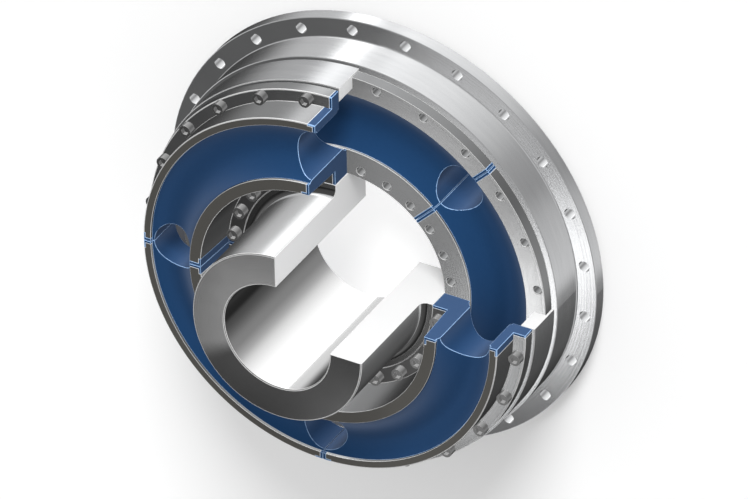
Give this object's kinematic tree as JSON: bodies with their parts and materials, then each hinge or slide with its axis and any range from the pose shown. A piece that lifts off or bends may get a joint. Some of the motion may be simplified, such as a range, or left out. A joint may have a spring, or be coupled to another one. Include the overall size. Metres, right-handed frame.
{
  "type": "disc coupling",
  "caption": "Flexible disc coupling with a bolting ring, bonded rubber segments and a long plain-bored hub, cut away over a quarter to show its section.",
  "frame": {"origin": "centre of the bolting ring's rear face, on the axis of rotation", "axes": "+Z along the axis towards the hub's nose; the missing quarter of the front half lies between +X and +Y"},
  "size_m": [0.673, 0.673, 0.315],
  "materials": {
    "turned_steel": "fine turned, satin",
    "screw_steel": "dark zinc",
    "blue_rubber": "moulded, glossy"
  },
  "bodies": {
    "root": {"flywheel_ring": "turned_steel", "spacer_ring": "turned_steel", "hub": "turned_steel", "front_outer_arc_1": "turned_steel", "front_outer_arc_2": "turned_steel", "front_outer_arc_3": "turned_steel", "front_inner_arc_1": "turned_steel", "front_inner_arc_2": "turned_steel", "front_inner_arc_3": "turned_steel", "rear_outer_arc_1": "turned_steel", "rear_outer_arc_2": "turned_steel", "rear_outer_arc_3": "turned_steel", "rear_outer_arc_4": "turned_steel", "rear_inner_arc_1": "turned_steel", "rear_inner_arc_2": "turned_steel", "rear_inner_arc_3": "turned_steel", "rear_inner_arc_4": "turned_steel", "front_rubber_1": "blue_rubber", "front_rubber_2": "blue_rubber", "front_rubber_3": "blue_rubber", "rear_rubber_1": "blue_rubber", "rear_rubber_2": "blue_rubber", "rear_rubber_3": "blue_rubber", "rear_rubber_4": "blue_rubber", "outer_screws": "screw_steel", "inner_screws": "screw_steel"}
  },
  "joints": []
}
